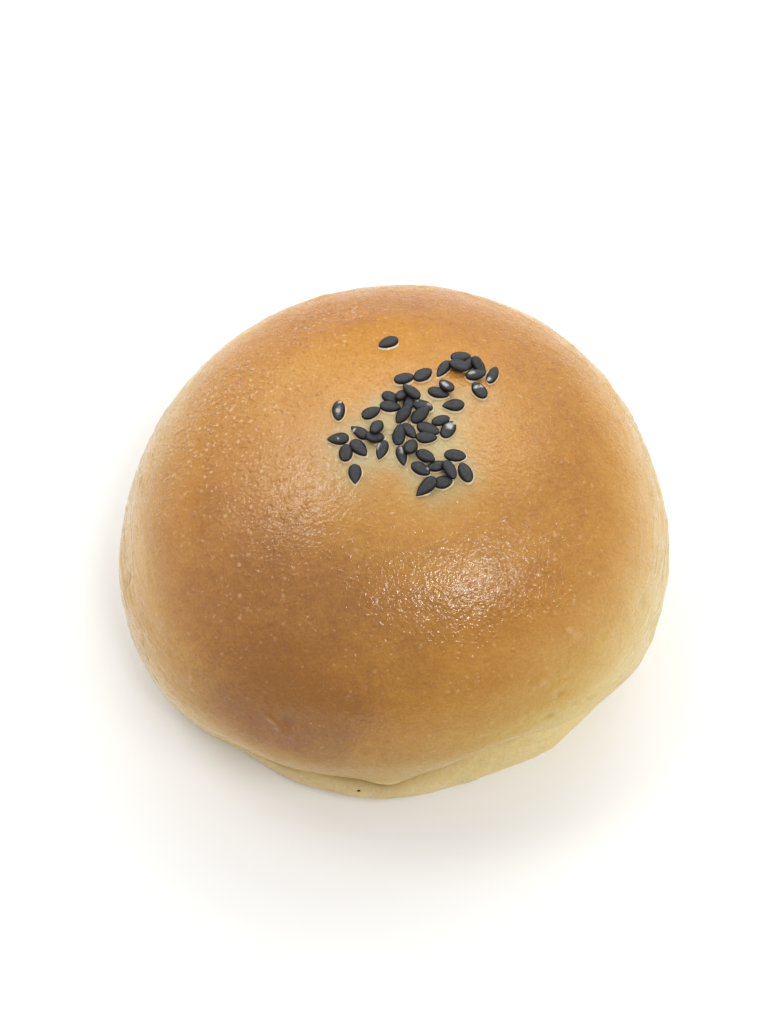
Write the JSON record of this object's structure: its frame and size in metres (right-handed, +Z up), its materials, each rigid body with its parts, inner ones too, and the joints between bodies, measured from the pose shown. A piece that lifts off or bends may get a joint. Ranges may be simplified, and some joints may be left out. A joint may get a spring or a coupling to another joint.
{
  "type": "filled sweet bun",
  "caption": "Round baked bun with a low glossy dome, a flat underside and a crease along the front of its foot, topped with sesame.",
  "frame": {"origin": "centre of the bounding box on the flat underside, where the bun stands", "axes": "+Z up through the top of the dome; the crease and the bare foot face -Y, the front; +X is the right-hand side seen from the front"},
  "size_m": [0.0898, 0.0884, 0.048],
  "materials": {
    "crust": "egg-washed baked crust, glossy golden brown on top, pale and matt at the foot",
    "sesame": "black sesame seeds, dull charcoal with a few spots of dried glaze"
  },
  "bodies": {
    "root": {"bun": "crust"}
  },
  "joints": []
}
